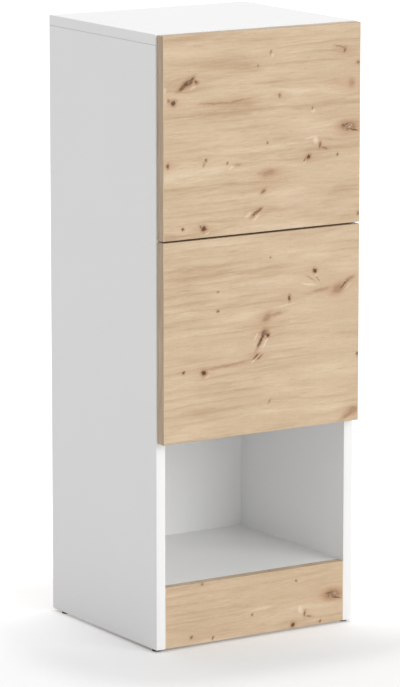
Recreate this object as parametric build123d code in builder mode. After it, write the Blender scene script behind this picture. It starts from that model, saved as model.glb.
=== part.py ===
from build123d import *
import os

# Mid-height bathroom cabinet: white carcass with two hinged oak-decor doors over an open niche.
# X runs to the right, Y to the back and Z up. The origin is the bottom centre of the closed cabinet.

# Carcass
width = 360.0
height = 950.0
carcass_depth = 312.0
board = 16.0
arris_radius = 0.5

# Back panel, which slides in grooves of the sides and the top
back_thickness = 3.0
back_recess = 15.0
groove_depth = 8.0
groove_play = 0.1

# Fronts
front_thickness = 16.0
front_height = 309.0
front_gap = 3.0
front_to_carcass = 2.0
side_reveal = 2.0
top_reveal = 1.0
ceiling_reveal = 2.0
front_edge_radius = 1.0

# Niche, plinth and glides
niche_floor_height = 100.0
glide_height = 4.0
glide_diameter = 14.0
glide_front_setback = 13.0
glide_rear_setback = 27.0
glide_nail_diameter = 2.0
glide_nail_length = 16.0

# Cam joints and dowels between the boards
cam_diameter = 15.0
cam_bore_depth = 12.5
cam_setback = 24.0
cam_play = 0.1
bolt_shank_diameter = 6.0
bolt_head_diameter = 7.0
bolt_head_length = 4.0
bolt_bore_diameter = 8.0
bolt_thread_diameter = 5.0
bolt_thread_length = 11.0
dowel_diameter = 8.0
dowel_length = 30.0
dowel_in_side = 11.0
dowel_play = 0.05
front_cam_setback = 50.0
rear_cam_setback = 242.0
dowel_offset = 32.0
plinth_dowel_offset = 24.0

# Nails of the back panel
nail_diameter = 1.6
nail_length = 20.0
nail_head_diameter = 5.0
nail_head_height = 0.8
nail_spacing = 120.0

# Concealed hinges, measured from the outer face of the right side and from the carcass front
hinge_end_distance = 70.0
cup_diameter = 35.0
cup_depth = 11.6
cup_bore_play = 0.1
cup_edge_distance = 3.0
cup_wall = 1.2
cup_floor = 1.0
flange_thickness = 1.2
flange_screw_offset = 9.5
flange_screw_spacing = 45.0
flange_ear_radius = 5.0
door_pin_depth = 7.0
door_pin_inset = 6.5
arm_pin_height = 8.0
arm_pin_setback = 3.0
hinge_pin_radius = 1.1
pin_play = 0.05
link_width = 9.0
link_thickness = 2.2
link_eye_radius = 2.2
link_neck_length = 11.0
link_bend_radius = 3.0
ear_thickness = 2.2
ear_radius = 1.9
ear_play = 0.3
arm_wall = 1.5
arm_nose_radius = 2.3
arm_length = 62.0
arm_web_start = 7.0
arm_web_height = 12.0
plate_thickness = 2.0
plate_setback = 37.0
plate_screw_spacing = 32.0
plate_wing_radius = 6.0
plate_rail_length = 36.0
plate_rail_play = 0.2
clamp_screw_setback = 47.0
reach_screw_setback = 27.0

# Screws
screw_diameter = 3.5
screw_head_diameter = 7.0
screw_length = 12.0
plate_screw_diameter = 5.0
clamp_screw_diameter = 4.0
clamp_head_height = 2.0

# Push latches at the free edge of each door
latch_travel = 10.0
latch_axis_distance = 9.0
latch_barrel_radius = 6.2
latch_bore_radius = 4.3
plunger_radius = 4.0
plunger_length = 40.0
plunger_tip_radius = 1.0
latch_length = 52.0
latch_setback = 2.0
latch_base_thickness = 2.5
latch_base_height = 30.0
latch_base_length = 26.0
latch_screw_spacing = 20.0
latch_screw_length = 11.0
strike_diameter = 14.0
strike_thickness = 0.8
strike_gap = 0.3

# Places that follow from the sizes above
inner_width = width - 2 * board
overall_depth = front_thickness + front_to_carcass + carcass_depth
front_face = -overall_depth / 2
front_back = front_face + front_thickness
carcass_front = front_back + front_to_carcass
carcass_rear = carcass_front + carcass_depth
back_rear = carcass_rear - back_recess
back_front = back_rear - back_thickness
inner_depth = back_front - carcass_front
side_height = height - board - glide_height
top_underside = height - board
front_width = width - 2 * side_reveal
upper_front_bottom = height - top_reveal - front_height
lower_front_bottom = upper_front_bottom - front_gap - front_height
shelf_middle = upper_front_bottom - front_gap / 2
ceiling_middle = lower_front_bottom + ceiling_reveal + board / 2
floor_middle = niche_floor_height - board / 2
side_middle = (width - board) / 2
plinth_middle = carcass_front + board / 2
plinth_height = niche_floor_height - glide_height
plinth_centre = glide_height + plinth_height / 2

os.makedirs("parts", exist_ok=True)


def save(piece, name):
    """Label a finished piece and write it as its own file."""
    piece.part.label = name
    export_step(piece.part, f"parts/{name}.step")


def level(z):
    """A horizontal plane at a height above the floor."""
    return Plane.XY.offset(z)


# Places of the cam joints and dowels. In each place Z runs from the joint face into the carried
# board and X points to the face of that board in which the cam sits.
def side_joint(side, y, z, cam_up):
    """Joint between a side and the end of a level board."""
    return Plane((side * inner_width / 2, y, z), x_dir=(0, 0, cam_up), z_dir=(-side, 0, 0))


def top_joint(side, y):
    """Joint between the top panel and the upper end of a side."""
    return Plane((side * side_middle, y, top_underside), x_dir=(-side, 0, 0), z_dir=(0, 0, -1))


def plinth_joint(side, z):
    """Joint between a side and the end of the plinth."""
    return Plane((side * inner_width / 2, plinth_middle, z), x_dir=(0, 1, 0), z_dir=(-side, 0, 0))


cam_rows = [carcass_front + front_cam_setback, carcass_front + rear_cam_setback]
dowel_rows = [cam_rows[0] + dowel_offset, cam_rows[1] - dowel_offset]
level_boards = [(floor_middle, -1), (ceiling_middle, 1), (shelf_middle, -1)]

cam_places = []
dowel_places = []
for side in (-1, 1):
    for z, cam_up in level_boards:
        cam_places += [side_joint(side, y, z, cam_up) for y in cam_rows]
        dowel_places += [side_joint(side, y, z, cam_up) for y in dowel_rows]
    cam_places += [top_joint(side, y) for y in cam_rows]
    dowel_places += [top_joint(side, y) for y in dowel_rows]
    cam_places.append(plinth_joint(side, plinth_centre))
    dowel_places.append(plinth_joint(side, plinth_centre + plinth_dowel_offset))
    dowel_places.append(plinth_joint(side, plinth_centre - plinth_dowel_offset))

# One cam lock: a drum with a pocket for the bolt head and a cross slot in its face
cam_axis = Plane((board / 2, 0, cam_setback), x_dir=(0, 1, 0), z_dir=(-1, 0, 0))
cam_slot_width = 2.0
cam_slot_depth = 1.5
with BuildPart() as cam_lock:
    with BuildSketch(cam_axis):
        Circle(cam_diameter / 2 - cam_play)
    extrude(amount=cam_bore_depth - cam_play)
    with BuildSketch(cam_axis):
        Rectangle(cam_diameter * 0.6, cam_slot_width)
        Rectangle(cam_slot_width, cam_diameter * 0.6)
    extrude(amount=cam_slot_depth, mode=Mode.SUBTRACT)
    with BuildSketch(level(cam_setback - cam_diameter)):
        Circle(bolt_bore_diameter / 2)
    extrude(amount=cam_diameter + bolt_head_length / 2 + cam_play, mode=Mode.SUBTRACT)

# One cam bolt: thread in the side, shank in the bore and a head inside the cam
with BuildPart() as cam_bolt:
    with BuildSketch(level(-bolt_thread_length)):
        Circle(bolt_thread_diameter / 2)
    extrude(amount=bolt_thread_length)
    with BuildSketch(level(0)):
        Circle(bolt_shank_diameter / 2)
    extrude(amount=cam_setback - bolt_head_length / 2)
    with BuildSketch(level(cam_setback - bolt_head_length / 2)):
        Circle(bolt_head_diameter / 2)
    extrude(amount=bolt_head_length)

# The holes for one cam joint
with BuildPart() as cam_cut:
    with BuildSketch(cam_axis):
        Circle(cam_diameter / 2)
    extrude(amount=cam_bore_depth)
    with BuildSketch(level(0)):
        Circle(bolt_bore_diameter / 2)
    extrude(amount=cam_setback)
    with BuildSketch(level(-bolt_thread_length)):
        Circle(bolt_thread_diameter / 2)
    extrude(amount=bolt_thread_length)

# One dowel and its hole
with BuildPart() as dowel:
    with BuildSketch(level(-dowel_in_side)):
        Circle(dowel_diameter / 2 - dowel_play)
    extrude(amount=dowel_length)
    chamfer(dowel.edges().filter_by(GeomType.CIRCLE), 0.8)

with BuildPart() as dowel_cut:
    with BuildSketch(level(-dowel_in_side)):
        Circle(dowel_diameter / 2)
    extrude(amount=dowel_length)

with BuildPart() as cam_locks:
    with Locations(*cam_places):
        add(cam_lock.part)
save(cam_locks, "cam_locks")

with BuildPart() as cam_bolts:
    with Locations(*cam_places):
        add(cam_bolt.part)
save(cam_bolts, "cam_bolts")

with BuildPart() as dowels:
    with Locations(*dowel_places):
        add(dowel.part)
save(dowels, "wooden_dowels")


def countersunk_screw(diameter, head_diameter, length):
    """A screw whose head lies flush at the origin and whose point runs along +Z."""
    head_height = (head_diameter - diameter) / 2
    with BuildPart() as screw:
        with BuildSketch(Plane.XZ):
            with BuildLine():
                Polyline(
                    (0, 0),
                    (head_diameter / 2, 0),
                    (diameter / 2, head_height),
                    (diameter / 2, length - diameter),
                    (0, length),
                    close=True,
                )
            make_face()
        revolve(axis=Axis.Z)
    return screw.part


# Hinge places. In a hinge's own frame X is the distance in from the outer face of the right
# side, Y the distance behind the carcass front, and its middle lies at Z = 0.
cup_centre = side_reveal + cup_edge_distance + cup_diameter / 2
door_back = -front_to_carcass
cup_bottom = door_back - cup_depth
flange_top = door_back + flange_thickness
door_pin = (side_reveal + door_pin_inset, door_back - door_pin_depth)
arm_pin = (board + arm_pin_height, arm_pin_setback)
link_elbow = (door_pin[0] + link_neck_length, door_pin[1])
arm_web_inside = board + arm_web_height - arm_wall
arm_inner_half = link_width / 2 + ear_play
arm_outer_half = arm_inner_half + arm_wall
door_axis = Plane((cup_centre, door_back, 0), x_dir=(1, 0, 0), z_dir=(0, -1, 0))
flange_plane = Plane((cup_centre, flange_top, 0), x_dir=(1, 0, 0), z_dir=(0, -1, 0))
side_face = Plane((board, plate_setback, 0), x_dir=(0, 1, 0), z_dir=(1, 0, 0))


def hinge_place(z):
    """Frame of one hinge on the right side of the cabinet."""
    return Plane((width / 2, carcass_front, z), x_dir=(-1, 0, 0), z_dir=(0, 0, -1))


def bar(point_a, point_b, radius):
    """A rounded bar in the current sketch, from one point to another."""
    with Locations(point_a, point_b):
        Circle(radius)
    make_hull()


flange_screw_places = [
    flange_plane * Pos(flange_screw_offset, side * flange_screw_spacing / 2) for side in (-1, 1)
]
flange_screw = countersunk_screw(screw_diameter, screw_head_diameter, screw_length)

# Hinge cup: a pressed pot with a winged flange, a notch for the link and two pin ears
with BuildPart() as cup_shape:
    with BuildSketch(door_axis):
        Circle(cup_diameter / 2 - cup_bore_play)
    extrude(amount=cup_depth)
    with BuildSketch(flange_plane):
        Circle(cup_diameter / 2 + flange_thickness)
        with Locations(*[(flange_screw_offset, side * flange_screw_spacing / 2) for side in (-1, 1)]):
            Circle(flange_ear_radius)
        make_hull()
    extrude(amount=flange_thickness)
    fillet(cup_shape.faces().sort_by(Axis.Y)[-1].outer_wire().edges(), flange_thickness / 3)
    with BuildSketch(flange_plane):
        Circle(cup_diameter / 2 - cup_wall)
    extrude(amount=flange_thickness + cup_depth - cup_floor, mode=Mode.SUBTRACT)
    with BuildSketch(Plane.XY):
        with Locations((side_reveal + door_pin_inset, (flange_top + cup_bottom + cup_floor) / 2)):
            Rectangle(2 * door_pin_inset, flange_top - cup_bottom - cup_floor)
    extrude(amount=link_width / 2 + ear_play, both=True, mode=Mode.SUBTRACT)
    for side in (-1, 1):
        with BuildSketch(level(side * (link_width / 2 + ear_play))):
            bar(door_pin, (door_pin[0] + ear_radius, cup_bottom + ear_radius), ear_radius)
        extrude(amount=side * ear_thickness)
    with BuildSketch(Plane.XY):
        with Locations(door_pin):
            Circle(hinge_pin_radius)
    extrude(amount=link_width / 2 + ear_play + ear_thickness, both=True, mode=Mode.SUBTRACT)
    with Locations(*flange_screw_places):
        add(flange_screw, mode=Mode.SUBTRACT)

# Gooseneck link between the arm and the cup
with BuildPart() as link_shape:
    with BuildSketch(Plane.XY):
        with BuildLine():
            FilletPolyline(door_pin, link_elbow, arm_pin, radius=link_bend_radius)
        trace(line_width=link_thickness)
        with Locations(door_pin, arm_pin):
            Circle(link_eye_radius)
    extrude(amount=link_width / 2, both=True)
    with BuildSketch(Plane.XY):
        with Locations(door_pin, arm_pin):
            Circle(hinge_pin_radius + pin_play)
    extrude(amount=link_width, both=True, mode=Mode.SUBTRACT)

# Hinge arm: a channel whose cheeks hold the link pin and straddle the mounting plate
arm_bottom = board + plate_thickness + plate_rail_play
arm_top = board + arm_web_height
with BuildPart() as arm_shape:
    with BuildSketch(Plane.XY):
        with BuildLine():
            Polyline(
                (arm_bottom, arm_length),
                (arm_top, arm_length),
                (arm_top, arm_web_start),
                (arm_pin[0] + arm_nose_radius, arm_pin[1]),
                (arm_pin[0] - arm_nose_radius, arm_pin[1]),
                (arm_bottom, arm_web_start),
                close=True,
            )
        make_face()
        with Locations(arm_pin):
            Circle(arm_nose_radius)
    extrude(amount=arm_outer_half, both=True)
    fillet(arm_shape.edges().filter_by(Axis.Y).group_by(Axis.X)[-1], arm_wall / 3)
    with BuildSketch(Plane.XY):
        with Locations(((arm_web_inside + arm_bottom) / 2 - board, arm_length / 2)):
            Rectangle(arm_web_inside - arm_bottom + 2 * board, 2 * arm_length)
        with Locations((board, 0)):
            Rectangle(4 * board, 2 * arm_web_start)
    extrude(amount=arm_inner_half, both=True, mode=Mode.SUBTRACT)
    with BuildSketch(Plane.XY):
        with Locations(arm_pin):
            Circle(hinge_pin_radius)
    extrude(amount=arm_outer_half, both=True, mode=Mode.SUBTRACT)
    with BuildSketch(Plane((arm_top, 0, 0), x_dir=(0, 1, 0), z_dir=(1, 0, 0))):
        with Locations((clamp_screw_setback, 0)):
            SlotOverall(2.5 * clamp_screw_diameter, clamp_screw_diameter)
        with Locations((reach_screw_setback, 0)):
            Circle(clamp_screw_diameter / 2)
    extrude(amount=-arm_wall, mode=Mode.SUBTRACT)

# Mounting plate: two screwed wings and the rail that the arm slides on
plate_screw_places = [
    side_face.offset(plate_thickness) * Pos(0, side * plate_screw_spacing / 2) * Rot(180, 0, 0)
    for side in (-1, 1)
]
plate_screw = countersunk_screw(plate_screw_diameter, screw_head_diameter, screw_length)
clamp_screw_axes = [
    Plane((arm_top, y, 0), x_dir=(0, 1, 0), z_dir=(1, 0, 0))
    for y in (clamp_screw_setback, reach_screw_setback)
]
with BuildPart() as plate_shape:
    with BuildSketch(side_face):
        bar((0, -plate_screw_spacing / 2), (0, plate_screw_spacing / 2), plate_wing_radius)
        Rectangle(plate_rail_length, 2 * arm_outer_half)
    extrude(amount=plate_thickness)
    with BuildSketch(side_face):
        Rectangle(plate_rail_length, 2 * (arm_inner_half - plate_rail_play))
    extrude(amount=arm_web_inside - board)
    with Locations(*plate_screw_places):
        add(plate_screw, mode=Mode.SUBTRACT)
    with BuildSketch(*clamp_screw_axes):
        Circle(clamp_screw_diameter / 2)
    extrude(amount=-arm_web_height + plate_thickness, mode=Mode.SUBTRACT)

# Clamping and reach screws through the web of the arm into the rail
with BuildPart() as clamp_shape:
    with BuildSketch(*clamp_screw_axes):
        Circle(clamp_screw_diameter / 2)
    extrude(amount=-arm_web_height + plate_thickness)
    with BuildSketch(*clamp_screw_axes):
        Circle(screw_head_diameter / 2)
    extrude(amount=clamp_head_height)
    with BuildSketch(*[axis.offset(clamp_head_height) for axis in clamp_screw_axes]):
        Rectangle(screw_head_diameter * 0.6, 1.0)
        Rectangle(1.0, screw_head_diameter * 0.6)
    extrude(amount=-clamp_head_height / 2, mode=Mode.SUBTRACT)

# Hinge pins, riveted in the cup ears and in the arm cheeks
with BuildPart() as cup_pin_shape:
    with BuildSketch(Plane.XY):
        with Locations(door_pin):
            Circle(hinge_pin_radius)
    extrude(amount=link_width / 2 + ear_play + ear_thickness, both=True)

with BuildPart() as arm_pin_shape:
    with BuildSketch(Plane.XY):
        with Locations(arm_pin):
            Circle(hinge_pin_radius)
    extrude(amount=arm_outer_half, both=True)

with BuildPart() as flange_screws_shape:
    with Locations(*flange_screw_places):
        add(flange_screw)

with BuildPart() as plate_screws_shape:
    with Locations(*plate_screw_places):
        add(plate_screw)

# Latch places. In a latch's own frame X is the distance from the inner face of the left side,
# Y the distance behind the carcass front, and the plunger lies at Z = 0.
latch_axis = Plane((latch_axis_distance, 0, 0), x_dir=(1, 0, 0), z_dir=(0, -1, 0))
strike_face = -front_to_carcass + strike_thickness
plunger_tip = strike_face + strike_gap


def latch_place(z):
    """Frame of one push latch on the left side of the cabinet."""
    return Plane((-inner_width / 2, carcass_front, z), x_dir=(1, 0, 0), z_dir=(0, 0, 1))


latch_screw_places = [
    Plane(
        (latch_base_thickness, latch_setback + latch_length / 2, side * latch_screw_spacing / 2),
        x_dir=(0, 1, 0),
        z_dir=(-1, 0, 0),
    )
    for side in (-1, 1)
]
latch_screw = countersunk_screw(screw_diameter, screw_head_diameter, latch_screw_length)

# Latch housing: a barrel on a screwed foot, with the bore of the plunger
with BuildPart() as latch_shape:
    with BuildSketch(latch_axis.offset(-latch_setback)):
        Circle(latch_barrel_radius)
        with Locations((-latch_axis_distance / 2, 0)):
            Rectangle(latch_axis_distance, 2 * latch_barrel_radius)
    extrude(amount=-latch_length)
    with BuildSketch(Plane((0, latch_setback + latch_length / 2, 0), x_dir=(0, 1, 0), z_dir=(1, 0, 0))):
        RectangleRounded(latch_base_length, latch_base_height, latch_base_height / 6)
    extrude(amount=latch_base_thickness)
    with BuildSketch(latch_axis.offset(-latch_setback)):
        Circle(latch_bore_radius)
    extrude(amount=-plunger_length - latch_travel / 2, mode=Mode.SUBTRACT)
    with Locations(*latch_screw_places):
        add(latch_screw, mode=Mode.SUBTRACT)

with BuildPart() as latch_screws_shape:
    with Locations(*latch_screw_places):
        add(latch_screw)

# Plunger with a rounded magnetic tip
with BuildPart() as plunger_shape:
    with BuildSketch(latch_axis.offset(-plunger_tip)):
        Circle(plunger_radius)
    extrude(amount=-plunger_length)
    fillet(plunger_shape.edges().filter_by(GeomType.CIRCLE).sort_by(Axis.Y)[0], plunger_tip_radius)

# Strike disc on the back of the door
with BuildPart() as strike_shape:
    with BuildSketch(latch_axis.offset(front_to_carcass)):
        Circle(strike_diameter / 2)
    extrude(amount=-strike_thickness)
    chamfer(strike_shape.edges().filter_by(GeomType.CIRCLE).sort_by(Axis.Y)[-1], strike_thickness / 2)


def hinge_heights(bottom):
    """Heights of the lower and the upper hinge of a front."""
    return bottom + hinge_end_distance, bottom + front_height - hinge_end_distance


fronts = {"upper": upper_front_bottom, "lower": lower_front_bottom}
all_hinges = [hinge_place(z) for bottom in fronts.values() for z in hinge_heights(bottom)]
all_latches = [latch_place(bottom + front_height / 2) for bottom in fronts.values()]

# Back panel, nailed to the rear edges of the level boards
nail_axis = Plane((0, back_rear, 0), x_dir=(1, 0, 0), z_dir=(0, -1, 0))
nail_places = [
    nail_axis * Pos(step * nail_spacing, z) for z, cam_up in level_boards for step in (-1, 0, 1)
]
with BuildPart() as nail:
    with BuildSketch(Plane.XY):
        Circle(nail_diameter / 2)
    extrude(amount=nail_length)
    with BuildSketch(Plane.XY):
        Circle(nail_head_diameter / 2)
    extrude(amount=-nail_head_height)

with BuildPart() as back_panel_nails:
    with Locations(*nail_places):
        add(nail.part)
save(back_panel_nails, "back_panel_nails")

back_half_width = inner_width / 2 + groove_depth - groove_play
back_bottom = niche_floor_height - board
back_top = top_underside + groove_depth - groove_play
with BuildPart() as back_panel:
    with BuildSketch(level(back_bottom)):
        with Locations((0, back_front + back_thickness / 2)):
            Rectangle(2 * back_half_width, back_thickness)
    extrude(amount=back_top - back_bottom)
    with Locations(*nail_places):
        add(nail.part, mode=Mode.SUBTRACT)
save(back_panel, "back_panel")

# Glides: domed plastic feet with a nail, driven into the lower edges of the sides
glide_rows = [carcass_front + glide_front_setback, carcass_rear - glide_rear_setback]
glide_places = [Pos(side * side_middle, y, 0) for side in (-1, 1) for y in glide_rows]
with BuildPart() as glide:
    with BuildSketch(Plane.XY):
        Circle(glide_diameter / 2)
    extrude(amount=glide_height)
    fillet(glide.edges().filter_by(GeomType.CIRCLE).sort_by(Axis.Z)[0], glide_height / 3)
    with BuildSketch(level(glide_height)):
        Circle(glide_nail_diameter / 2)
    extrude(amount=glide_nail_length)

with BuildPart() as glides:
    with Locations(*glide_places):
        add(glide.part)
save(glides, "floor_glides")


def drill_boards():
    """Cut the holes of every cam joint, dowel, nail and glide out of the current board."""
    with Locations(*cam_places):
        add(cam_cut.part, mode=Mode.SUBTRACT)
    with Locations(*dowel_places):
        add(dowel_cut.part, mode=Mode.SUBTRACT)
    with Locations(*nail_places):
        add(nail.part, mode=Mode.SUBTRACT)
    with Locations(*glide_places):
        add(glide.part, mode=Mode.SUBTRACT)


# Sides, with the groove of the back panel and the holes of the hinges or latches
for side, name, places, screws in (
    (-1, "left_side_panel", all_latches, latch_screws_shape),
    (1, "right_side_panel", all_hinges, plate_screws_shape),
):
    with BuildPart() as side_panel:
        with BuildSketch(level(glide_height)):
            with Locations((side * side_middle, carcass_front + carcass_depth / 2)):
                Rectangle(board, carcass_depth)
        extrude(amount=side_height)
        front_edges = side_panel.edges().filter_by(Axis.Z).group_by(Axis.Y)[0]
        fillet(front_edges, arris_radius)
        with BuildSketch(level(glide_height)):
            with Locations((side * inner_width / 2, back_front + back_thickness / 2)):
                Rectangle(2 * groove_depth, back_thickness)
        extrude(amount=side_height, mode=Mode.SUBTRACT)
        drill_boards()
        with Locations(*places):
            add(screws.part, mode=Mode.SUBTRACT)
    save(side_panel, name)

# Top panel, which lies over the sides
with BuildPart() as top_panel:
    with BuildSketch(level(top_underside)):
        with Locations((0, carcass_front + carcass_depth / 2)):
            Rectangle(width, carcass_depth)
    extrude(amount=board)
    fillet(top_panel.faces().sort_by(Axis.Z)[-1].edges(), arris_radius)
    with BuildSketch(level(top_underside)):
        with Locations((0, back_front + back_thickness / 2)):
            Rectangle(inner_width + 2 * groove_depth, back_thickness)
    extrude(amount=groove_depth, mode=Mode.SUBTRACT)
    drill_boards()
save(top_panel, "top_panel")

# Level boards between the sides. The niche floor starts behind the plinth.
for name, middle, front in (
    ("niche_floor_panel", floor_middle, carcass_front + board),
    ("niche_ceiling_panel", ceiling_middle, carcass_front),
    ("middle_shelf_panel", shelf_middle, carcass_front),
):
    with BuildPart() as level_board:
        with BuildSketch(level(middle - board / 2)):
            with Locations((0, (front + back_front) / 2)):
                Rectangle(inner_width, back_front - front)
        extrude(amount=board)
        fillet(level_board.edges().filter_by(Axis.X).group_by(Axis.Y)[0], arris_radius)
        drill_boards()
    save(level_board, name)

# Plinth in oak decor, flush with the front edges of the sides
with BuildPart() as plinth:
    with BuildSketch(level(glide_height)):
        with Locations((0, plinth_middle)):
            Rectangle(inner_width, board)
    extrude(amount=plinth_height)
    fillet(plinth.edges().filter_by(Axis.X).group_by(Axis.Y)[0], arris_radius)
    drill_boards()
save(plinth, "plinth_panel")

# Doors, bored for their hinge cups
for row, bottom in fronts.items():
    hinges = [hinge_place(z) for z in hinge_heights(bottom)]
    with BuildPart() as door:
        with BuildSketch(level(bottom)):
            with Locations((0, front_face + front_thickness / 2)):
                Rectangle(front_width, front_thickness)
        extrude(amount=front_height)
        fillet(door.faces().sort_by(Axis.Y)[0].edges(), front_edge_radius)
        with BuildSketch(*[place * door_axis for place in hinges]):
            Circle(cup_diameter / 2)
        extrude(amount=cup_depth, mode=Mode.SUBTRACT)
        with Locations(*hinges):
            add(flange_screws_shape.part, mode=Mode.SUBTRACT)
    save(door, f"{row}_door_panel")

# Hinge pieces, each hinge by itself and its pins and screws by the door
for row, bottom in fronts.items():
    hinges = [hinge_place(z) for z in hinge_heights(bottom)]
    for where, place in zip(("lower", "upper"), hinges):
        for shape, name in (
            (cup_shape, "hinge_cup"),
            (link_shape, "hinge_link"),
            (arm_shape, "hinge_arm"),
            (plate_shape, "hinge_mounting_plate"),
        ):
            with BuildPart() as hinge_piece:
                with Locations(place):
                    add(shape.part)
            save(hinge_piece, f"{row}_door_{where}_{name}")
    for shape, name in (
        (cup_pin_shape, "hinge_cup_pins"),
        (arm_pin_shape, "hinge_arm_pins"),
        (flange_screws_shape, "hinge_cup_screws"),
        (plate_screws_shape, "hinge_plate_screws"),
        (clamp_shape, "hinge_adjusting_screws"),
    ):
        with BuildPart() as hinge_group:
            with Locations(*hinges):
                add(shape.part)
        save(hinge_group, f"{row}_door_{name}")

# Push latches and their strikes
for row, bottom in fronts.items():
    place = latch_place(bottom + front_height / 2)
    for shape, name in (
        (latch_shape, "push_latch_housing"),
        (plunger_shape, "push_latch_plunger"),
        (latch_screws_shape, "push_latch_screws"),
        (strike_shape, "strike_disc"),
    ):
        with BuildPart() as latch_piece:
            with Locations(place):
                add(shape.part)
        save(latch_piece, f"{row}_door_{name}")
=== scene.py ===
import math

import bmesh
import bpy
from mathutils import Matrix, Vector


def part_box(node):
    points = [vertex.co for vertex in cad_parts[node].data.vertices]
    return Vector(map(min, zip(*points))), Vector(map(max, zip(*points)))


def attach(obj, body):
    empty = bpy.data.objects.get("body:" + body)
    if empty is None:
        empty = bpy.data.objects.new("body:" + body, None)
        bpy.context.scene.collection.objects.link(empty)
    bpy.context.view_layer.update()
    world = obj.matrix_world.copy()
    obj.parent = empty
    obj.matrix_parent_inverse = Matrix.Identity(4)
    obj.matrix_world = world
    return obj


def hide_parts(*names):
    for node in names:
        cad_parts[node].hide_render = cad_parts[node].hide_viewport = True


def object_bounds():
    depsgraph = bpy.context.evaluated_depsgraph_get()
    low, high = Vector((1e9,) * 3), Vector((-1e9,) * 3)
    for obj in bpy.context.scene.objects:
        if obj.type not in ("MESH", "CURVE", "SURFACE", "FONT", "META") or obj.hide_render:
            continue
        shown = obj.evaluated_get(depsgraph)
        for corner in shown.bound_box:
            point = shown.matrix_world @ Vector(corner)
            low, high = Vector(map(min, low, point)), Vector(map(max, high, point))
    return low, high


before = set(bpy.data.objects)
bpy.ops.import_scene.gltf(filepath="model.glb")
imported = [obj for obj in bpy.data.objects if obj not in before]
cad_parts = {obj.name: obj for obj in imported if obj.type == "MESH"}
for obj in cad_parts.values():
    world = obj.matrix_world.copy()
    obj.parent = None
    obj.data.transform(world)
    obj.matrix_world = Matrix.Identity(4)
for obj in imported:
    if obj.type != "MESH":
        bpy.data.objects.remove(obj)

cad_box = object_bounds()

# The white boards: 16 mm chipboard faced with white melamine, sawn, edged with a thin white
# strip along the front and left raw along the rear and the lower edges.


class Wire:
    """One output in a material's node tree. Maths on it is written as a Python expression."""

    def __init__(self, tree, output):
        self.tree = tree
        self.output = output

    def node(self, kind, settings=None, inputs=None, output=0):
        """Add a node, set it up, join its inputs to values or wires and return one output."""
        node = self.tree.nodes.new(kind)
        for name, value in (settings or {}).items():
            setattr(node, name, value)
        for name, value in (inputs or {}).items():
            socket = node.inputs[name]
            if isinstance(value, Wire):
                self.tree.links.new(value.output, socket)
            else:
                socket.default_value = value
        return Wire(self.tree, node.outputs[output] if node.outputs else None)

    def maths(self, operation, *others):
        values = dict(enumerate((self,) + others))
        return self.node("ShaderNodeMath", {"operation": operation}, values)

    def __add__(self, other):
        return self.maths("ADD", other)

    def __radd__(self, other):
        return self.maths("ADD", other)

    def __sub__(self, other):
        return self.maths("SUBTRACT", other)

    def __rsub__(self, other):
        return self.maths("MULTIPLY_ADD", -1.0, other)

    def __mul__(self, other):
        return self.maths("MULTIPLY", other)

    def __rmul__(self, other):
        return self.maths("MULTIPLY", other)

    def __gt__(self, other):
        return self.maths("GREATER_THAN", other)

    def __lt__(self, other):
        return self.maths("LESS_THAN", other)

    def axes(self):
        """The x, y and z of this vector, a wire each."""
        split = self.node("ShaderNodeSeparateXYZ", inputs={"Vector": self}).output.node
        return [Wire(self.tree, output) for output in split.outputs]

    def scaled(self, x, y, z):
        """This vector with each axis scaled by itself."""
        return self.node("ShaderNodeMapping", inputs={"Vector": self, "Scale": (x, y, z)})

    def noise(self, scale, detail=2.0, roughness=0.5, output=0):
        """Noise at this vector, about 0.5 in the middle."""
        inputs = {"Vector": self, "Scale": scale, "Detail": detail, "Roughness": roughness}
        return self.node("ShaderNodeTexNoise", inputs=inputs, output=output)

    def steps(self, low, high):
        """0 below low, 1 above high and smooth between."""
        inputs = {"Value": self, "From Min": low, "From Max": high}
        return self.node("ShaderNodeMapRange", {"interpolation_type": "SMOOTHSTEP"}, inputs)

    def mixed(self, first, second):
        """A colour mixed from two colours, with this wire as the share of the second."""
        # A Mix node has sockets for each kind of value. Those of a colour are 6, 7 and output 2.
        return self.node("ShaderNodeMix", {"data_type": "RGBA"}, {0: self, 6: first, 7: second}, output=2)


def paint(red, green, blue):
    """A colour from the usual 0 to 255 screen values, as the linear colour that a shader takes."""
    linear = []
    for value in (red, green, blue):
        share = value / 255
        linear.append(share / 12.92 if share <= 0.04045 else ((share + 0.055) / 1.055) ** 2.4)
    return (*linear, 1.0)


def new_material(name, **constants):
    """A material with one Principled shader. Returns it, the shader and the place on the piece."""
    material = bpy.data.materials.new(name)
    material.use_nodes = True
    tree = material.node_tree
    tree.nodes.clear()
    start = Wire(tree, None)
    sockets = {socket.replace("_", " "): value for socket, value in constants.items()}
    shader = start.node("ShaderNodeBsdfPrincipled", inputs=sockets)
    start.node("ShaderNodeOutputMaterial", inputs={"Surface": shader})
    place = start.node("ShaderNodeTexCoord", output="Object")
    return material, shader.output.node, place


def finish_shader(shader, colour, roughness, height, depth, strength):
    """Join the colour, roughness and relief of a finish to its shader."""
    links = shader.id_data.links
    links.new(colour.output, shader.inputs["Base Color"])
    links.new(roughness.output, shader.inputs["Roughness"])
    relief = {"Height": height, "Distance": depth, "Strength": strength}
    normal = height.node("ShaderNodeBump", inputs=relief)
    links.new(normal.output, shader.inputs["Normal"])


def dress(material, *names):
    """Give CAD nodes their finish."""
    for name in names:
        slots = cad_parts[name].data.materials
        slots.clear()
        slots.append(material)


side_low, side_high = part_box("left_side_panel")
outer_face = -side_low[0]
strip_thickness = 0.001
glue_line = 0.00022
seam_shade_height = 0.0011
seam_shade_depth = 0.0006
raw_skin = 0.00012

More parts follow.
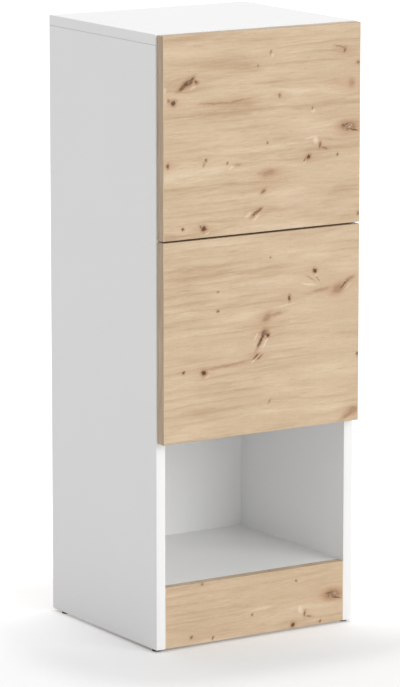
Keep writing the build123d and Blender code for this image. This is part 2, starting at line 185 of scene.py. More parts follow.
white_board, shader, place = new_material("white_melamine")
x, y, z = place.axes()
pearl = place.noise(1400.0, 2.0)
cloud = place.noise(6.0, 3.0)
scuff = place.scaled(30.0, 30.0, 4.0).noise(9.0, 5.0, 0.7).steps(0.62, 0.80)
white = cloud.mixed(paint(241, 241, 241), paint(244, 244, 243))
glue = (y - (side_low[1] + strip_thickness)).maths("ABSOLUTE").steps(glue_line, glue_line * 0.3)
# Painted shade: a darker grey line on the sides' outer faces along the joint under the top panel, where
# shade falls in the groove.
seam_shade = (z - side_high[2]).maths("ABSOLUTE").steps(seam_shade_height, seam_shade_height * 0.36)
seam_shade = seam_shade * (x.maths("ABSOLUTE") > outer_face - seam_shade_depth)
white = (glue * 0.35).mixed(white, paint(186, 184, 180))
white = (seam_shade * 0.45).mixed(white, paint(160, 159, 157))
raw = (y > side_high[1] - raw_skin).maths("MAXIMUM", z < side_low[2] + raw_skin)
chips = place.node("ShaderNodeTexVoronoi", inputs={"Vector": place, "Scale": 420.0}, output=1)
chip_tone = place.noise(260.0, 4.0, 0.7)
chipboard = chip_tone.steps(0.35, 0.65).mixed(paint(126, 96, 66), paint(206, 178, 140))
chipboard = chips.node(
    "ShaderNodeMix",
    {"data_type": "RGBA", "blend_type": "OVERLAY"},
    {0: 0.35, 6: chipboard, 7: chips},
    output=2,
)
finish_shader(
    shader,
    colour=raw.mixed(white, chipboard),
    roughness=0.36 + pearl * 0.10 + scuff * 0.06 + raw * 0.4,
    height=pearl * 0.5 + cloud * 0.2 + raw * chip_tone * 3.0,
    depth=0.00004,
    strength=0.5,
)
dress(
    white_board,
    "left_side_panel",
    "right_side_panel",
    "top_panel",
    "middle_shelf_panel",
    "niche_ceiling_panel",
    "niche_floor_panel",
)

# The white edge strips: thin plastic glued to the front edges of the white boards, standing a
# hair proud of them, with the arrises of their faces scraped round.
strip_proud = 0.0001
strip_rounding = 0.0004
rounding_segments = 3
smooth_angle = math.radians(35.0)


def select_faces(piece, test):
    """In edit mode, select the faces whose middle and normal pass a test."""
    mesh = bmesh.from_edit_mesh(piece.data)
    for face in mesh.faces:
        face.select_set(False)
    for face in mesh.faces:
        if test(face.calc_center_median(), face.normal):
            face.select_set(True)
    mesh.select_flush_mode()
    bmesh.update_edit_mesh(piece.data)


def start_block(name, low, high):
    """Add a block at its size and place and open it in edit mode."""
    bpy.ops.object.select_all(action="DESELECT")
    bpy.ops.mesh.primitive_cube_add(size=1.0)
    piece = bpy.context.object
    piece.name = name
    piece.location = [(start + end) / 2 for start, end in zip(low, high)]
    piece.scale = [end - start for start, end in zip(low, high)]
    bpy.ops.object.transform_apply()
    bpy.context.tool_settings.mesh_select_mode = (False, False, True)
    bpy.ops.object.mode_set(mode="EDIT")
    return piece


def finish_piece(piece, material, body):
    """Turn the faces outwards, close edit mode and give the piece its finish and its body."""
    bpy.ops.mesh.select_all(action="SELECT")
    bpy.ops.mesh.normals_make_consistent(inside=False)
    bpy.ops.object.mode_set(mode="OBJECT")
    bpy.ops.object.shade_smooth_by_angle(angle=smooth_angle)
    piece.data.materials.clear()
    piece.data.materials.append(material)
    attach(piece, body)


for board in ("left_side", "right_side", "top", "middle_shelf", "niche_ceiling"):
    low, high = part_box(board + "_panel")
    strip = start_block(
        board + "_edge_strip",
        (low[0] + strip_proud, low[1] - strip_proud, low[2] + strip_proud),
        (high[0] - strip_proud, low[1] + strip_thickness, high[2] - strip_proud),
    )
    select_faces(strip, lambda middle, normal: normal.y < -0.5)
    bpy.ops.mesh.bevel(offset=strip_rounding, segments=rounding_segments, affect="EDGES")
    finish_piece(strip, white_board, "carcass")

# The dowels: turned beech with fine flecks along their length, glued half their length into
# each of the two boards that they join.
beech, shader, place = new_material("beech_dowel")
fleck = place.scaled(40.0, 400.0, 400.0).noise(3.0, 4.0)
finish_shader(
    shader,
    colour=fleck.steps(0.3, 0.7).mixed(paint(204, 168, 124), paint(176, 138, 96)),
    roughness=0.55 + fleck * 0.2,
    height=fleck,
    depth=0.00005,
    strength=0.4,
)
dress(beech, "wooden_dowels")

# The cam locks, cam bolts and nails: discs of cast zinc turned in their bores to draw the bolts'
# heads in, and steel bolts and nails plated with zinc.
zinc, shader, place = new_material("zinc_plate", Metallic=1.0)
bloom = place.noise(420.0, 5.0, 0.7)
finish_shader(
    shader,
    colour=bloom.mixed(paint(176, 178, 180), paint(206, 205, 200)),
    roughness=0.34 + bloom * 0.18,
    height=bloom,
    depth=0.00003,
    strength=0.4,
)
dress(zinc, "cam_locks", "cam_bolts", "back_panel_nails")

# The back panel: 3 mm hardboard, lacquered white towards the inside and brown, with its pressed
# mesh pattern, towards the wall.
back_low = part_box("back_panel")[0]
lacquered_depth = 0.0004
back_board, shader, place = new_material("white_hardboard")
y = place.axes()[1]
lacquer = place.noise(700.0, 3.0)
fibre = place.scaled(1.0, 1.0, 0.5).noise(900.0, 5.0, 0.75)
blotch = place.noise(25.0, 4.0)
brown_side = y > back_low[1] + lacquered_depth
hardboard = fibre.mixed(paint(104, 72, 46), paint(164, 124, 86))
hardboard = (blotch * 0.35).mixed(hardboard, paint(128, 92, 60))
# The lacquered side's white is painted lighter than the boards' white: painted light that brightens the
# shaded back of the open niche.
finish_shader(
    shader,
    colour=brown_side.mixed(paint(250, 250, 249), hardboard),
    roughness=0.42 + brown_side * 0.35 + lacquer * 0.06,
    height=lacquer * 0.4 + brown_side * fibre * 3.0,
    depth=0.00005,
    strength=0.5,
)
dress(back_board, "back_panel")

# The glides: round feet moulded in black plastic, fixed under the sides and scuffed where they
# slide on the floor.
black, shader, place = new_material("black_glide_plastic")
mould = place.noise(1200.0, 3.0)
scuffed = place.noise(300.0, 5.0, 0.7).steps(0.50, 0.75)
finish_shader(
    shader,
    colour=scuffed.mixed(paint(34, 34, 35), paint(66, 66, 66)),
    roughness=0.45 + scuffed * 0.25,
    height=mould,
    depth=0.00005,
    strength=0.4,
)
dress(black, "floor_glides")

# The doors and the plinth: chipboard faced with an oak decor, its grain level, with small dark
# knots, cracked knots and fine pores. Each row below is one knot or flaw of the decor, in
# millimetres: place in x and z, half length, half height, tilt, darkness, cracks and halo.
upper_marks = [
    (-143, 871, 9.0, 3.0, 32, 1.0, 0.8, 0.5),
    (-136, 876, 9.0, 4.4, 30, 1.0, 0.9, 0.6),
    (-128, 879, 7.5, 3.2, 50, 1.0, 0.7, 0.3),
    (-120, 877, 4.0, 2.8, -30, 0.8, 0.6, 0.2),
    (-160, 848, 4.6, 4.0, 0, 0.9, 0.0, 1.0),
    (-168, 852, 2.6, 3.0, 60, 0.4, 0.0, 0.4),
    (-80, 842, 34, 1.3, -3, 0.24, 0.3, 0.6),
    (-40, 844, 22, 1.6, 6, 0.22, 0.3, 0.6),
    (30, 846, 2.6, 2.6, 0, 0.45, 0.0, 0.6),
    (14, 914, 3.0, 1.6, 60, 0.45, 0.0, 0.2),
    (-9, 894, 1.6, 1.6, 0, 0.45, 0.0, 0.2),
    (140, 914, 9.0, 1.2, -12, 0.30, 0.0, 0.4),
    (149, 908, 3.4, 2.2, 75, 0.50, 0.0, 0.5),
    (174, 888, 3.0, 2.6, 0, 0.50, 0.0, 0.4),
    (162, 857, 4.6, 6.0, 0, 0.22, 0.8, 1.0),
    (157, 790, 15, 7.4, -4, 0.62, 1.0, 1.0),
    (150, 793, 7.0, 2.0, 8, 0.80, 0.4, 0.3),
    (166, 784, 9.0, 1.4, -12, 0.85, 0.3, 0.3),
    (90, 823, 2.4, 1.6, 70, 0.45, 0.0, 0.1),
    (104, 765, 5.0, 1.8, 80, 0.55, 0.0, 0.5),
    (112, 760, 6.0, 1.6, -15, 0.35, 0.0, 0.3),
    (83, 748, 4.0, 3.0, 40, 0.95, 0.0, 0.5),
    (76, 744, 3.0, 1.4, 50, 0.45, 0.0, 0.2),
    (136, 748, 2.6, 1.6, 60, 0.75, 0.0, 0.2),
    (8, 776, 1.8, 1.8, 0, 0.55, 0.0, 0.1),
    (-170, 754, 2.6, 3.8, 0, 0.75, 0.0, 0.9),
    (-102, 757, 2.6, 2.2, 45, 0.60, 0.0, 0.4),
    (-106, 751, 3.0, 1.4, 60, 0.35, 0.0, 0.3),
    (-64, 750, 2.4, 1.6, 70, 0.65, 0.0, 0.2),
    (-45, 746, 6.0, 2.0, 0, 0.20, 0.0, 0.2),
    (10, 729, 12, 5.0, 10, 0.22, 0.0, 1.0),
    (1, 702, 5.0, 2.6, 40, 0.50, 0.0, 0.7),
    (-13, 670, 8.0, 2.4, 35, 0.90, 1.0, 1.0),
    (-5, 674, 5.0, 1.6, 40, 0.80, 0.6, 0.2),
    (-106, 654, 4.4, 4.0, 10, 1.0, 0.0, 1.0),
    (-112, 657, 3.0, 1.6, -50, 0.5, 0.0, 0.2),
    (-143, 656, 2.4, 2.2, 0, 0.85, 0.0, 0.4),
    (176, 654, 3.4, 2.6, 45, 0.85, 0.0, 0.3),
]
lower_marks = [
    (96, 571, 3.8, 3.8, 60, 1.0, 0.0, 0.5),
    (88, 560, 9.0, 1.0, -32, 0.25, 0.0, 0.3),
    (101, 558, 7.0, 0.9, -50, 0.22, 0.0, 0.2),
    (150, 545, 14, 1.8, 36, 0.75, 0.5, 0.9),
    (139, 539, 11, 7.0, 20, 0.34, 0.5, 1.0),
    (160, 553, 9.0, 2.4, 18, 0.30, 0.4, 0.6),
    (49, 533, 2.4, 4.4, 5, 0.85, 0.0, 0.5),
    (108, 540, 16, 2.6, 6, 0.18, 0.0, 0.3),
    (8, 506, 9.0, 5.4, 30, 0.28, 0.0, 1.0),
    (24, 510, 14, 2.4, 6, 0.16, 0.0, 0.4),
    (4, 483, 6.0, 5.4, 20, 0.85, 0.7, 0.8),
    (10, 479, 3.6, 3.0, 40, 1.0, 0.0, 0.2),
    (-3, 472, 13, 2.7, 60, 1.0, 0.4, 0.3),
    (-12, 448, 7.0, 1.7, 40, 0.95, 0.5, 1.0),
    (-5, 446, 6.0, 1.2, 38, 0.60, 0.0, 0.1),
    (-106, 432, 4.6, 4.2, 10, 1.0, 0.0, 1.0),
    (-60, 440, 40, 2.0, 5, 0.18, 0.3, 0.7),
    (-143, 436, 2.4, 2.2, 0, 0.85, 0.0, 0.4),
    (-81, 554, 1.8, 1.6, 0, 0.55, 0.0, 0.2),
    (-81, 525, 2.6, 2.0, 0, 0.65, 0.0, 0.3),
    (14, 599, 1.6, 1.6, 60, 0.45, 0.0, 0.1),
    (176, 433, 2.8, 2.8, 0, 0.85, 0.0, 0.3),
    (13, 376, 4.0, 1.2, 60, 0.40, 0.0, 0.2),
    (160, 339, 16, 3.0, 28, 0.30, 0.7, 1.0),
    (168, 345, 9.0, 5.0, 10, 0.26, 0.5, 0.6),
]
plinth_marks = [
    (144, 49, 14, 7.0, -4, 0.62, 1.0, 1.0),
    (137, 52, 6.5, 2.0, 8, 0.80, 0.4, 0.3),
    (152, 43, 8.5, 1.4, -12, 0.85, 0.3, 0.3),
    (92, 25, 5.0, 1.8, 80, 0.55, 0.0, 0.5),
    (100, 20, 6.0, 1.6, -15, 0.35, 0.0, 0.3),
    (70, 10, 4.0, 3.4, 40, 0.95, 0.0, 0.6),
    (121, 9, 2.4, 1.6, 60, 0.75, 0.0, 0.2),
    (-117, 16, 2.6, 2.2, 45, 0.65, 0.0, 0.4),
    (-78, 10, 2.4, 1.8, 70, 0.65, 0.0, 0.2),
    (-6, 36, 2.0, 1.8, 0, 0.55, 0.0, 0.2),
    (76, 80, 2.2, 1.8, 0, 0.55, 0.0, 0.2),
    (-98, 97, 2.4, 1.6, 0, 0.50, 0.0, 0.3),
]
# Pale flecks beside the knots: place, half length, half height, tilt and strength.
upper_lights = [
    (96, 773, 5.0, 7.0, 20, 0.75),
    (88, 778, 14, 2.0, 8, 0.50),
    (76, 741, 5.0, 2.0, 40, 0.60),
    (-26, 668, 8.0, 3.0, 30, 0.60),
    (-12, 662, 9.0, 2.0, 38, 0.60),
    (160, 789, 5.0, 2.6, 0, 0.95),
    (-125, 869, 6.0, 2.0, 30, 0.45),
    (-100, 646, 5.0, 2.0, 20, 0.50),
    (-175, 868, 3.0, 5.0, 0, 0.60),
    (17, 908, 3.0, 2.4, 45, 0.55),
    (91, 819, 4.0, 4.0, 0, 0.60),
    (-58, 742, 6.0, 2.0, 30, 0.55),
]
lower_lights = [
    (6, 469, 11, 1.6, 58, 0.95),
    (-12, 479, 8.0, 1.2, 62, 0.60),
    (-15, 442, 8.0, 1.4, 38, 0.80),
    (-8, 452, 8.0, 1.2, 38, 0.60),
    (84, 551, 16, 2.0, -10, 0.60),
    (98, 564, 4.0, 2.4, 50, 0.55),
    (156, 540, 12, 1.4, 36, 0.55),
    (40, 522, 26, 1.6, 6, 0.45),
    (-100, 425, 5.0, 2.0, 20, 0.40),
]
plinth_lights = [
    (84, 32, 5.0, 7.0, 20, 0.75),
    (148, 49, 5.0, 2.6, 0, 0.95),
    (10, 44, 26, 3.0, 4, 0.45),
]
mm = 0.001
mark_depth = 1000.0
smallest_halo = 3.2
edge_band = 0.0011
edge_blur = 0.0001
raggedness = 0.0060
crack_slant = math.radians(38.0)
grain_drift = 0.022
grain_slope = 0.012
grain_turn = 0.7
rings_per_metre = 74.0
straw, honey = paint(201, 176, 143), paint(210, 184, 154)
brown_patch, pale_patch = paint(184, 154, 120), paint(224, 203, 173)
brown_streak, pale_streak = paint(168, 136, 101), paint(230, 210, 180)
late_wood = paint(160, 126, 92)
brown_hair, pale_hair = paint(156, 126, 94), paint(234, 216, 188)
pore_brown = paint(128, 98, 68)
halo_brown, fleck_cream = paint(184, 138, 102), paint(236, 216, 190)
rim_brown, knot_brown = paint(150, 100, 58), paint(80, 50, 22)
strip_cream, strip_brown = paint(223, 200, 170), paint(194, 166, 134)


def at_mark(place, x, z, half_length, half_height, tilt):
    """How far a point is from the middle of a mark, where 1 is the mark's rim."""
    settings = {"vector_type": "TEXTURE"}
    inputs = {
        "Vector": place,
        "Location": (x * mm, 0.0, z * mm),
        "Rotation": (0.0, -math.radians(tilt), 0.0),
        "Scale": (half_length * mm, mark_depth, half_height * mm),
    }
    turned = place.node("ShaderNodeMapping", settings, inputs)
    return turned.node("ShaderNodeVectorMath", {"operation": "LENGTH"}, {0: turned}, output=1)


def oak_decor(name, node_name, marks, lights, shift):
    """An oak decor whose grain runs along X and flows round its knots."""
    material, shader, place = new_material(name)
    low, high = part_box(node_name)
    x, _, z = place.axes()
    wobble = place.noise(210.0, 4.0, 0.65, output=1)
    ragged = place.node(
        "ShaderNodeVectorMath",
        {"operation": "MULTIPLY_ADD"},
        {0: wobble, 1: (raggedness, 0.0, raggedness), 2: place},
    )
    ragged = ragged.node(
        "ShaderNodeVectorMath",
        {"operation": "SUBTRACT"},
        {0: ragged, 1: (raggedness / 2, 0.0, raggedness / 2)},
    )
    slant = {"Vector": ragged, "Rotation": (0.0, crack_slant, 0.0)}
    slanted = ragged.node("ShaderNodeMapping", inputs=slant)
    cracks = slanted.scaled(170.0, 1.0, 820.0).noise(1.0, 3.0, 0.6)
    drift = place.scaled(1.0, 1.0, 1.6).noise(2.2, 2.0)
    across = z + (drift - 0.5) * grain_drift - x * grain_slope
    dark = brown = halo = pale = cracks * 0.0
    for mark_x, mark_z, half_length, half_height, tilt, darkness, cracked, glow in marks:
        away = at_mark(ragged, mark_x, mark_z, half_length, half_height, tilt)
        core = away.steps(1.15, 0.55) * darkness
        if cracked:
            core = core * (cracks.steps(0.60, 0.44) * cracked + (1.0 - cracked))
        dark = dark.maths("MAXIMUM", core)
        brown = brown.maths("MAXIMUM", away.steps(2.3, 0.6) * (0.22 + 0.5 * darkness))
        spread = max(half_height, smallest_halo)
        if spread * glow > 1.0:
            reach = max(5.0 * spread, 1.2 * half_length)
            near = at_mark(place, mark_x, mark_z, reach, 2.4 * spread, 0.0)
            near = (near * near * -1.0).maths("EXPONENT")
            halo = halo.maths("MAXIMUM", near * glow)
            across = across - (z - mark_z * mm) * near * grain_turn
    for *fleck, strength in lights:
        away = at_mark(ragged, *fleck)
        pale = pale.maths("MAXIMUM", away.steps(1.3, 0.3) * strength)
    grain = place.node("ShaderNodeCombineXYZ", inputs={"X": x + shift, "Y": 0.0, "Z": across})
    emboss = place.scaled(30.0, 1.0, 900.0).noise(1.0, 3.0, 0.6)
    pressed = place.scaled(110.0, 1.0, 2300.0).noise(1.0, 1.0).steps(0.62, 0.74)
    tint = grain.scaled(11.0, 1.0, 36.0).noise(1.0, 3.0, 0.6)
    patch = grain.scaled(5.0, 1.0, 44.0).noise(1.0, 4.0, 0.6)
    busy = grain.scaled(5.0, 1.0, 22.0).noise(1.0, 2.0).steps(0.40, 0.62)
    streak = grain.scaled(12.0, 1.0, 190.0).noise(1.0, 5.0, 0.7)
    hair = grain.scaled(44.0, 1.0, 760.0).noise(1.0, 3.0, 0.7)
    pore = grain.scaled(110.0, 1.0, 2300.0).noise(1.0, 1.0).steps(0.64, 0.74)
    ring = (across * rings_per_metre + patch * 0.7 + tint * 0.5).maths("FRACT")
    late = ring.steps(0.45, 0.95) * ring.steps(1.0, 0.95)
    colour = tint.steps(0.30, 0.70).mixed(straw, honey)
    colour = (patch.steps(0.48, 0.72) * 0.80).mixed(colour, brown_patch)
    colour = (patch.steps(0.48, 0.28) * 0.65).mixed(colour, pale_patch)
    colour = (streak.steps(0.54, 0.74) * (0.20 + busy * 0.38)).mixed(colour, brown_streak)
    colour = (streak.steps(0.46, 0.27) * (0.20 + busy * 0.34)).mixed(colour, pale_streak)
    colour = (late * busy * 0.26).mixed(colour, late_wood)
    colour = (hair.steps(0.52, 0.76) * 0.42).mixed(colour, brown_hair)
    colour = (hair.steps(0.46, 0.25) * 0.35).mixed(colour, pale_hair)
    colour = (pore * (0.25 + late * 0.4)).mixed(colour, pore_brown)
    colour = (halo * (0.16 + streak * 0.46)).mixed(colour, halo_brown)
    colour = (pale * (0.55 + hair * 0.5)).mixed(colour, fleck_cream)
    colour = (brown * (0.46 + streak * 0.7)).mixed(colour, rim_brown)
    colour = dark.mixed(colour, knot_brown)
    from_side = (high[0] - x).maths("MINIMUM", x - low[0])
    band = from_side.steps(edge_band + edge_blur, edge_band - edge_blur)
    strip_grain = place.scaled(900.0, 900.0, 14.0).noise(1.0, 4.0, 0.6)
    strip = strip_grain.steps(0.34, 0.68).mixed(strip_cream, strip_brown)
    colour = band.mixed(colour, strip)
    finish_shader(
        shader,
        colour=colour,
        roughness=0.46 + hair * 0.10 + dark * 0.08,
        height=emboss * 0.6 - pressed * 0.8,
        depth=0.00008,
        strength=0.5,
    )
    return material


for node_name, marks, lights, shift in (
    ("upper_door_panel", upper_marks, upper_lights, 0.0),
    ("lower_door_panel", lower_marks, lower_lights, 3.0),
    ("plinth_panel", plinth_marks, plinth_lights, 6.0),
):
    dress(oak_decor("oak_decor_" + node_name, node_name, marks, lights, shift), node_name)

# The doors' edge strips: 1 mm plastic printed with the same oak, glued round all four edges, its
# grain along each strip, and scraped round at the front and the back.
oak_strip, shader, place = new_material("oak_edge_strip")
door_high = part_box("upper_door_panel")[1]
x = place.axes()[0]
upright = x.maths("ABSOLUTE") > door_high[0] - strip_thickness
standing = place.scaled(1.0, 1.0, 0.02).noise(700.0, 4.0, 0.65)
lying = place.scaled(0.02, 1.0, 1.0).noise(700.0, 4.0, 0.65)
strip_grain = upright * standing + (1.0 - upright) * lying
cloud = place.noise(40.0, 3.0)
strip_colour = strip_grain.steps(0.36, 0.64).mixed(paint(198, 176, 148), paint(166, 142, 114))
finish_shader(
    shader,
    colour=(cloud * 0.4).mixed(strip_colour, paint(190, 168, 142)),
    roughness=0.42 + strip_grain * 0.14,
    height=strip_grain,
    depth=0.00004,
    strength=0.4,
)
rows = ("upper", "lower")
for row in rows:
    low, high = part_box(f"{row}_door_panel")
    strip = start_block(
        f"{row}_door_edge_strips",
        (low[0] - strip_proud, low[1] + strip_proud / 2, low[2] - strip_proud),
        (high[0] + strip_proud, high[1] - strip_proud / 2, high[2] + strip_proud),
    )
    select_faces(strip, lambda middle, normal: abs(normal.y) > 0.5)
    bpy.ops.mesh.delete(type="FACE")
    bpy.ops.object.mode_set(mode="OBJECT")
    wall = strip.modifiers.new("wall", "SOLIDIFY")
    wall.thickness = strip_thickness
    wall.offset = -1.0
    wall.use_even_offset = True
    arris = strip.modifiers.new("arris", "BEVEL")
    arris.width = strip_rounding
    arris.segments = rounding_segments
    bpy.ops.object.modifier_apply(modifier="wall")
    bpy.ops.object.modifier_apply(modifier="arris")
    bpy.ops.object.mode_set(mode="EDIT")
    finish_piece(strip, oak_strip, f"{row}_door")

# The hinges: pressed and nickel-plated steel, satin, with the fine lines of the rolled strip, and
# the strike discs of the latches in the same steel.
nickel, shader, place = new_material("nickel_plated_steel", Metallic=1.0)
rolled = place.scaled(1.0, 30.0, 1.0).noise(260.0, 4.0, 0.6)
tarnish = place.noise(90.0, 4.0)
finish_shader(
    shader,
    colour=tarnish.mixed(paint(214, 212, 206), paint(190, 187, 180)),
    roughness=0.22 + rolled * 0.14 + tarnish * 0.08,
    height=rolled,
    depth=0.00002,
    strength=0.3,
)
for row in rows:
    for where in rows:
        for piece in ("hinge_cup", "hinge_link", "hinge_arm", "hinge_mounting_plate"):
            dress(nickel, f"{row}_door_{where}_{piece}")
    dress(nickel, f"{row}_door_hinge_cup_pins", f"{row}_door_hinge_arm_pins")
    dress(nickel, f"{row}_door_strike_disc")

# The screws of the hinges and latches: zinc-plated steel. The adjusting screws keep the shape of
# the CAD model. The countersunk ones get a rolled thread and a pressed cross in the head.
for row in rows:
    dress(zinc, f"{row}_door_hinge_adjusting_screws")
thread_pitch = 0.0014
thread_root = 0.78
head_sides = 32
head_rim = 0.0002
tip_share = 0.15
cross_depth = 0.0015
cross_length_share = 0.52
cross_width_share = 0.13
cross_taper = 0.6


def solids_of(node_name):
    """The lowest and highest corners of each separate solid of a CAD node."""
    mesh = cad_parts[node_name].data
    keys = [tuple(round(part, 6) for part in vertex.co) for vertex in mesh.vertices]
    parents = {key: key for key in keys}

    def root(key):
        while parents[key] != key:
            parents[key] = parents[parents[key]]
            key = parents[key]
        return key

    for face in mesh.polygons:
        first = root(keys[face.vertices[0]])
        for index in face.vertices[1:]:
            parents[root(keys[index])] = first
    corners = {}
    for key in keys:
        low, high = corners.setdefault(root(key), (list(key), list(key)))
        for axis in range(3):
            low[axis] = min(low[axis], key[axis])
            high[axis] = max(high[axis], key[axis])
    return list(corners.values())


def cross_screw(head, shank, length):
    """A countersunk screw whose head faces up, with its top at the origin."""
    bpy.ops.object.select_all(action="DESELECT")
    bpy.ops.mesh.primitive_circle_add(vertices=head_sides, radius=head / 2, fill_type="NGON")
    screw = bpy.context.object
    bpy.ops.object.mode_set(mode="EDIT")
    bpy.ops.mesh.select_all(action="SELECT")
    sink = (head - shank) / 2
    turns = int((length - sink - shank) / thread_pitch)
    steps = [(head_rim, 1.0), (sink, shank / head)]
    one_turn = [
        (thread_pitch * 0.5, thread_root),
        (thread_pitch * 0.3, 1.0 / thread_root),
        (thread_pitch * 0.2, 1.0),
    ]
    steps += one_turn * turns
    steps.append((shank * 0.7, tip_share))
    for drop, narrower in steps:
        bpy.ops.mesh.extrude_region_move(TRANSFORM_OT_translate={"value": (0.0, 0.0, -drop)})
        bpy.ops.transform.resize(value=(narrower, narrower, 1.0), center_override=(0.0, 0.0, 0.0))
    bpy.ops.mesh.select_all(action="SELECT")
    bpy.ops.mesh.normals_make_consistent(inside=False)
    bpy.ops.object.mode_set(mode="OBJECT")
    half_length = head * cross_length_share / 2
    half_width = head * cross_width_share / 2
    for half_x, half_y in ((half_length, half_width), (half_width, half_length)):
        blade = start_block(
            "cross_blade",
            (-half_x, -half_y, -cross_depth),
            (half_x, half_y, cross_depth),
        )
        select_faces(blade, lambda middle, normal: normal.z < -0.5)
        bpy.ops.transform.resize(
            value=(cross_taper, cross_taper, 1.0),
            center_override=(0.0, 0.0, 0.0),
        )
        bpy.ops.object.mode_set(mode="OBJECT")
        bpy.ops.object.select_all(action="DESELECT")
        screw.select_set(True)
        bpy.context.view_layer.objects.active = screw
        cut = screw.modifiers.new("cross", "BOOLEAN")
        cut.operation = "DIFFERENCE"
        cut.object = blade
        bpy.ops.object.modifier_apply(modifier="cross")
        bpy.data.objects.remove(blade)
    return screw


# Each group: its node, head and shank, the axis that its heads face along and which way.
screw_kinds = (
    ("hinge_cup_screws", 0.0070, 0.0035, 1, 1),
    ("hinge_plate_screws", 0.0070, 0.0050, 0, -1),
    ("push_latch_screws", 0.0070, 0.0035, 0, 1),
)
for row in rows:
    for kind, head, shank, axis, facing in screw_kinds:
        node_name = f"{row}_door_{kind}"
        places = solids_of(node_name)
        low, high = places[0]
        pattern = cross_screw(head, shank, high[axis] - low[axis])
        copies = []
        for low, high in places:
            top = [(start + end) / 2 for start, end in zip(low, high)]
            top[axis] = high[axis] if facing > 0 else low[axis]
            outwards = Vector((0.0, 0.0, 0.0))
            outwards[axis] = facing
            turned = Vector((0.0, 0.0, 1.0)).rotation_difference(outwards).to_matrix().to_4x4()
            turned.translation = top
            screw = pattern.copy()
            screw.data = pattern.data.copy()
            screw.matrix_world = turned
            bpy.context.collection.objects.link(screw)
            copies.append(screw)
        bpy.data.objects.remove(pattern)
        bpy.ops.object.select_all(action="DESELECT")
        for screw in copies:
            screw.select_set(True)
        bpy.context.view_layer.objects.active = copies[0]
        bpy.ops.object.transform_apply()
        bpy.ops.object.join()
        screws = bpy.context.object
        screws.name = node_name + "_threaded"
        bpy.ops.object.mode_set(mode="EDIT")
        body = f"{row}_door" if kind == "hinge_cup_screws" else "carcass"
        finish_piece(screws, zinc, body)
        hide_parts(node_name)

# The push latches: a housing moulded in grey plastic, screwed to the side, and a plunger in
# light grey that springs out and pushes the door open.
faded_share = 1.12
for name, tone, piece in (
    ("latch_grey", paint(150, 152, 154), "push_latch_housing"),
    ("plunger_grey", paint(206, 206, 204), "push_latch_plunger"),
):
    plastic, shader, place = new_material(name)
    mould = place.noise(1500.0, 3.0)
    flow = place.noise(60.0, 3.0)
    lighter = tuple(min(1.0, part * faded_share) for part in tone)
    finish_shader(
        shader,
        colour=flow.mixed(tone, lighter),
        roughness=0.40 + mould * 0.12,
        height=mould,
        depth=0.00004,
        strength=0.4,
    )
    dress(plastic, *[f"{row}_door_{piece}" for row in rows])

# The studio: a pale floor that reads as white to the camera and still takes the soft shadow, an
# even white surround, a broad lamp low on the front right and a broad one above and behind. The
# floor's glow to the camera is partly painted light: it grows towards the back, painting out the
# front lamp's shadow behind the cabinet, and away from the cabinet, leaving painted shade round
# its base.
floor_size = 120.0
surround_grey = 0.60
floor_glow = 0.12
painted_rear_light = 0.29
rear_start, rear_end = -0.32, 0.18
painted_far_light = 0.12
far_start, far_end = 0.12, 0.24
white_light = (1.0, 1.0, 1.0, 1.0)


def shown_rays(tree):
    """1 for the rays that show the studio itself, by sight, in a reflection or through glass."""
    ray = Wire(tree, None).node("ShaderNodeLightPath").output.node.outputs
    names = ("Is Camera Ray", "Is Glossy Ray", "Is Transmission Ray")
    seen, reflected, passed = (Wire(tree, ray[name]) for name in names)
    shown = seen + reflected + passed
    return shown.node("ShaderNodeClamp", inputs={"Value": shown})


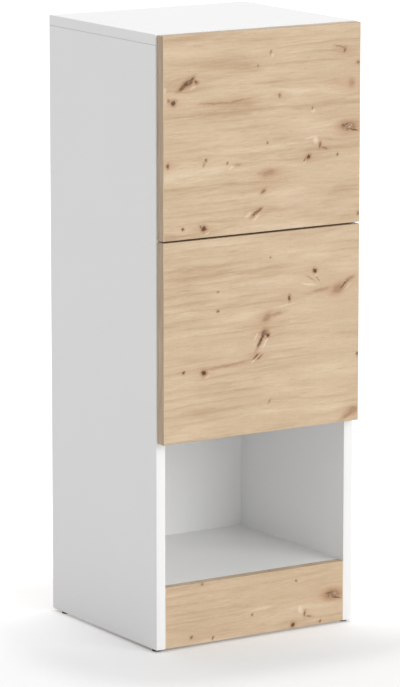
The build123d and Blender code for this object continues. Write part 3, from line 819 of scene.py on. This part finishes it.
bpy.ops.object.select_all(action="DESELECT")
bpy.ops.mesh.primitive_plane_add(size=floor_size, location=(0.0, 0.0, 0.0))
floor = bpy.context.object
floor.name = "studio_floor"
floor_paint, shader, place = new_material(
    "studio_floor",
    Base_Color=(0.80, 0.80, 0.80, 1.0),
    Roughness=0.9,
    Specular_IOR_Level=0.0,
    Emission_Strength=1.0,
)
x, y, _ = place.axes()
body_high = cad_box[1]
beside = (x.maths("ABSOLUTE") - body_high[0]).maths("MAXIMUM", 0.0)
before = (y.maths("ABSOLUTE") - body_high[1]).maths("MAXIMUM", 0.0)
distance = (beside * beside + before * before).maths("SQRT")
# Painted light: the floor's glow rises towards the back, which paints out the front lamp's shadow there,
# and away from the cabinet, which leaves the floor darker round its base.
behind = (y + x * 0.5).steps(rear_start, rear_end)
lift = floor_glow + behind * painted_rear_light + distance.steps(far_start, far_end) * painted_far_light
tree = floor_paint.node_tree
lifted = (shown_rays(tree) * lift).mixed((0.0, 0.0, 0.0, 1.0), white_light)
tree.links.new(lifted.output, shader.inputs["Emission Color"])
floor.data.materials.append(floor_paint)

world = bpy.data.worlds.new("studio")
world.use_nodes = True
tree = world.node_tree
tree.nodes.clear()
shown = shown_rays(tree)
surround = shown.mixed((surround_grey, surround_grey, surround_grey, 1.0), white_light)
backdrop = shown.node("ShaderNodeBackground", inputs={"Color": surround, "Strength": 1.0})
shown.node("ShaderNodeOutputWorld", inputs={"Surface": backdrop})
bpy.context.scene.world = world

# Each lamp: its name, the side that it shines from, its strength and how broad it is in degrees.
for name, shines_from, strength, breadth in (
    ("front_lamp", (0.38, -0.90, 0.38), 1.39, 46.0),
    ("top_lamp", (0.30, 0.42, 1.0), 0.72, 60.0),
):
    lamp = bpy.data.lights.new(name, "SUN")
    lamp.energy = strength
    lamp.angle = math.radians(breadth)
    lamp_object = bpy.data.objects.new(name, lamp)
    lamp_object.rotation_euler = Vector(shines_from).to_track_quat("Z", "Y").to_euler()
    bpy.context.collection.objects.link(lamp_object)

# The camera: a long lens at the photograph's angle, to the left of the front and a little above.
camera_turn = -32.367
camera_tilt = 10.903
camera_place = (-3.493, -5.498, 1.6947)
camera_lens = 222.7
camera_data = bpy.data.cameras.new("camera")
camera_data.sensor_width = 36.0
camera_data.lens = camera_lens
camera_data.clip_start = 0.1
camera_data.clip_end = 200.0
camera = bpy.data.objects.new("camera", camera_data)
camera.location = camera_place
camera.rotation_euler = (math.radians(90.0 - camera_tilt), 0.0, math.radians(camera_turn))
bpy.context.collection.objects.link(camera)
bpy.context.scene.camera = camera

bpy.context.scene.view_settings.view_transform = "Standard"
